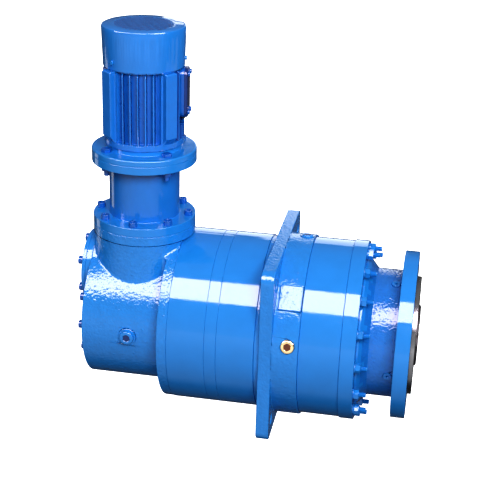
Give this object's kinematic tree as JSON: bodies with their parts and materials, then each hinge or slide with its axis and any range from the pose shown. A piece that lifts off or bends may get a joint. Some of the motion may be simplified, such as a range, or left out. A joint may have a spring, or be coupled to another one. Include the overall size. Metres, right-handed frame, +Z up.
{
  "type": "planetary speed reducer",
  "caption": "Right-angle planetary speed reducer with a vertical flange motor, square mounting plate and hollow splined output.",
  "frame": {"origin": "centre of the output flange face, on the main axis", "axes": "+X out of the output shaft along the main axis, +Z up along the motor axis, -Y towards the viewer of the picture"},
  "size_m": [0.667, 0.357, 0.7515],
  "materials": {
    "cast_paint": "glossy blue enamel over a rough sand-cast surface",
    "smooth_paint": "glossy blue enamel over machined rings and discs",
    "motor_paint": "glossy darker blue enamel on the motor",
    "fastener_paint": "blue enamel brushed over steel fasteners",
    "cowl_paint": "glossy darker blue enamel on drawn sheet",
    "brass": "turned brass plug with a hexagon socket",
    "bare_steel": "bright turned steel, lightly oiled",
    "dark_steel": "dark oiled steel shaft end",
    "gear_steel": "ground case-hardened gear steel",
    "bearing_steel": "polished bearing steel",
    "seal_rubber": "black nitrile rubber",
    "core_steel": "stacked electrical sheet",
    "copper": "enamelled copper windings",
    "fan_plastic": "black moulded plastic",
    "plug_plastic": "black moulded plastic"
  },
  "bodies": {
    "casing": {"bevel_housing": "cast_paint", "rear_cover": "smooth_paint", "layshaft_cap": "smooth_paint", "cover_screws": "fastener_paint", "first_ring_gear": "smooth_paint", "spacer_ring": "smooth_paint", "intermediate_housing": "smooth_paint", "tie_screws": "fastener_paint", "flange_housing": "cast_paint", "second_ring_gear": "smooth_paint", "output_housing": "cast_paint", "end_studs": "fastener_paint", "end_nuts": "fastener_paint", "spigot_ring": "bare_steel", "shaft_seals": "seal_rubber", "oil_plugs": "fastener_paint", "brass_plug": "brass", "grease_plugs": "fastener_paint", "input_adapter": "smooth_paint", "adapter_screws": "fastener_paint", "motor_flange_shield": "motor_paint", "motor_bolts": "fastener_paint", "stator_frame": "motor_paint", "stator_core": "core_steel", "stator_windings": "copper", "rear_end_shield": "motor_paint", "fan_cowl": "cowl_paint", "cowl_screws": "fastener_paint", "terminal_box": "motor_paint", "terminal_lid": "motor_paint", "lid_screws": "fastener_paint", "entry_plug": "plug_plastic", "motor_bearings": "bearing_steel", "pinion_bearings": "bearing_steel", "layshaft_bearings": "bearing_steel", "sun_shaft_bearings": "bearing_steel", "carrier_bearing": "bearing_steel", "output_bearing_cups": "bearing_steel", "output_bearing_rollers": "bearing_steel"},
    "output_shaft": {"output_carrier": "dark_steel", "second_planet_pins": "gear_steel", "output_bearing_cones": "bearing_steel"},
    "first_carrier_body": {"first_carrier": "dark_steel", "first_planet_pins": "gear_steel", "second_sun_gear": "gear_steel"},
    "sun_shaft": {"first_sun_shaft": "gear_steel", "input_spur_gear": "gear_steel"},
    "layshaft_body": {"layshaft": "gear_steel", "bevel_wheel": "gear_steel"},
    "rotor": {"rotor_shaft": "gear_steel", "rotor_core": "core_steel", "cooling_fan": "fan_plastic", "coupling_sleeve": "gear_steel", "bevel_pinion": "gear_steel"},
    "first_planet_body_1": {"first_planet_1": "gear_steel"},
    "second_planet_body_1": {"second_planet_1": "gear_steel"},
    "first_planet_body_2": {"first_planet_2": "gear_steel"},
    "second_planet_body_2": {"second_planet_2": "gear_steel"},
    "first_planet_body_3": {"first_planet_3": "gear_steel"},
    "second_planet_body_3": {"second_planet_3": "gear_steel"}
  },
  "joints": [
    {"name": "output_spin", "type": "hinge", "parent": "casing", "child": "output_shaft", "pos_m": [-0.12, 0, 0], "axis": [1, 0, 0], "continuous": true},
    {"name": "first_carrier_spin", "type": "hinge", "parent": "casing", "child": "first_carrier_body", "pos_m": [-0.32, 0, 0], "axis": [1, 0, 0], "continuous": true},
    {"name": "sun_shaft_spin", "type": "hinge", "parent": "casing", "child": "sun_shaft", "pos_m": [-0.5, 0, 0], "axis": [1, 0, 0], "continuous": true},
    {"name": "layshaft_spin", "type": "hinge", "parent": "casing", "child": "layshaft_body", "pos_m": [-0.55, 0, 0.0825], "axis": [1, 0, 0], "continuous": true},
    {"name": "rotor_spin", "type": "hinge", "parent": "casing", "child": "rotor", "pos_m": [-0.535, 0, 0.42], "axis": [0, 0, 1], "continuous": true},
    {"name": "first_planet_spin_1", "type": "hinge", "parent": "first_carrier_body", "child": "first_planet_body_1", "pos_m": [-0.42, 0, 0.0825], "axis": [1, 0, 0], "continuous": true},
    {"name": "first_planet_spin_2", "type": "hinge", "parent": "first_carrier_body", "child": "first_planet_body_2", "pos_m": [-0.42, -0.07145, -0.04125], "axis": [1, 0, 0], "continuous": true},
    {"name": "first_planet_spin_3", "type": "hinge", "parent": "first_carrier_body", "child": "first_planet_body_3", "pos_m": [-0.42, 0.07145, -0.04125], "axis": [1, 0, 0], "continuous": true},
    {"name": "second_planet_spin_1", "type": "hinge", "parent": "output_shaft", "child": "second_planet_body_1", "pos_m": [-0.156, 0, 0.08775], "axis": [1, 0, 0], "continuous": true},
    {"name": "second_planet_spin_2", "type": "hinge", "parent": "output_shaft", "child": "second_planet_body_2", "pos_m": [-0.156, -0.07599, -0.04387], "axis": [1, 0, 0], "continuous": true},
    {"name": "second_planet_spin_3", "type": "hinge", "parent": "output_shaft", "child": "second_planet_body_3", "pos_m": [-0.156, 0.07599, -0.04387], "axis": [1, 0, 0], "continuous": true}
  ],
  "couplings": [
    {"joint": "first_carrier_spin", "follows": "output_spin", "ratio": 4.5},
    {"joint": "sun_shaft_spin", "follows": "output_spin", "ratio": 22.5},
    {"joint": "layshaft_spin", "follows": "output_spin", "ratio": -60},
    {"joint": "rotor_spin", "follows": "output_spin", "ratio": -120},
    {"joint": "first_planet_spin_1", "follows": "output_spin", "ratio": -12},
    {"joint": "first_planet_spin_2", "follows": "output_spin", "ratio": -12},
    {"joint": "first_planet_spin_3", "follows": "output_spin", "ratio": -12},
    {"joint": "second_planet_spin_1", "follows": "output_spin", "ratio": -2.8},
    {"joint": "second_planet_spin_2", "follows": "output_spin", "ratio": -2.8},
    {"joint": "second_planet_spin_3", "follows": "output_spin", "ratio": -2.8}
  ]
}
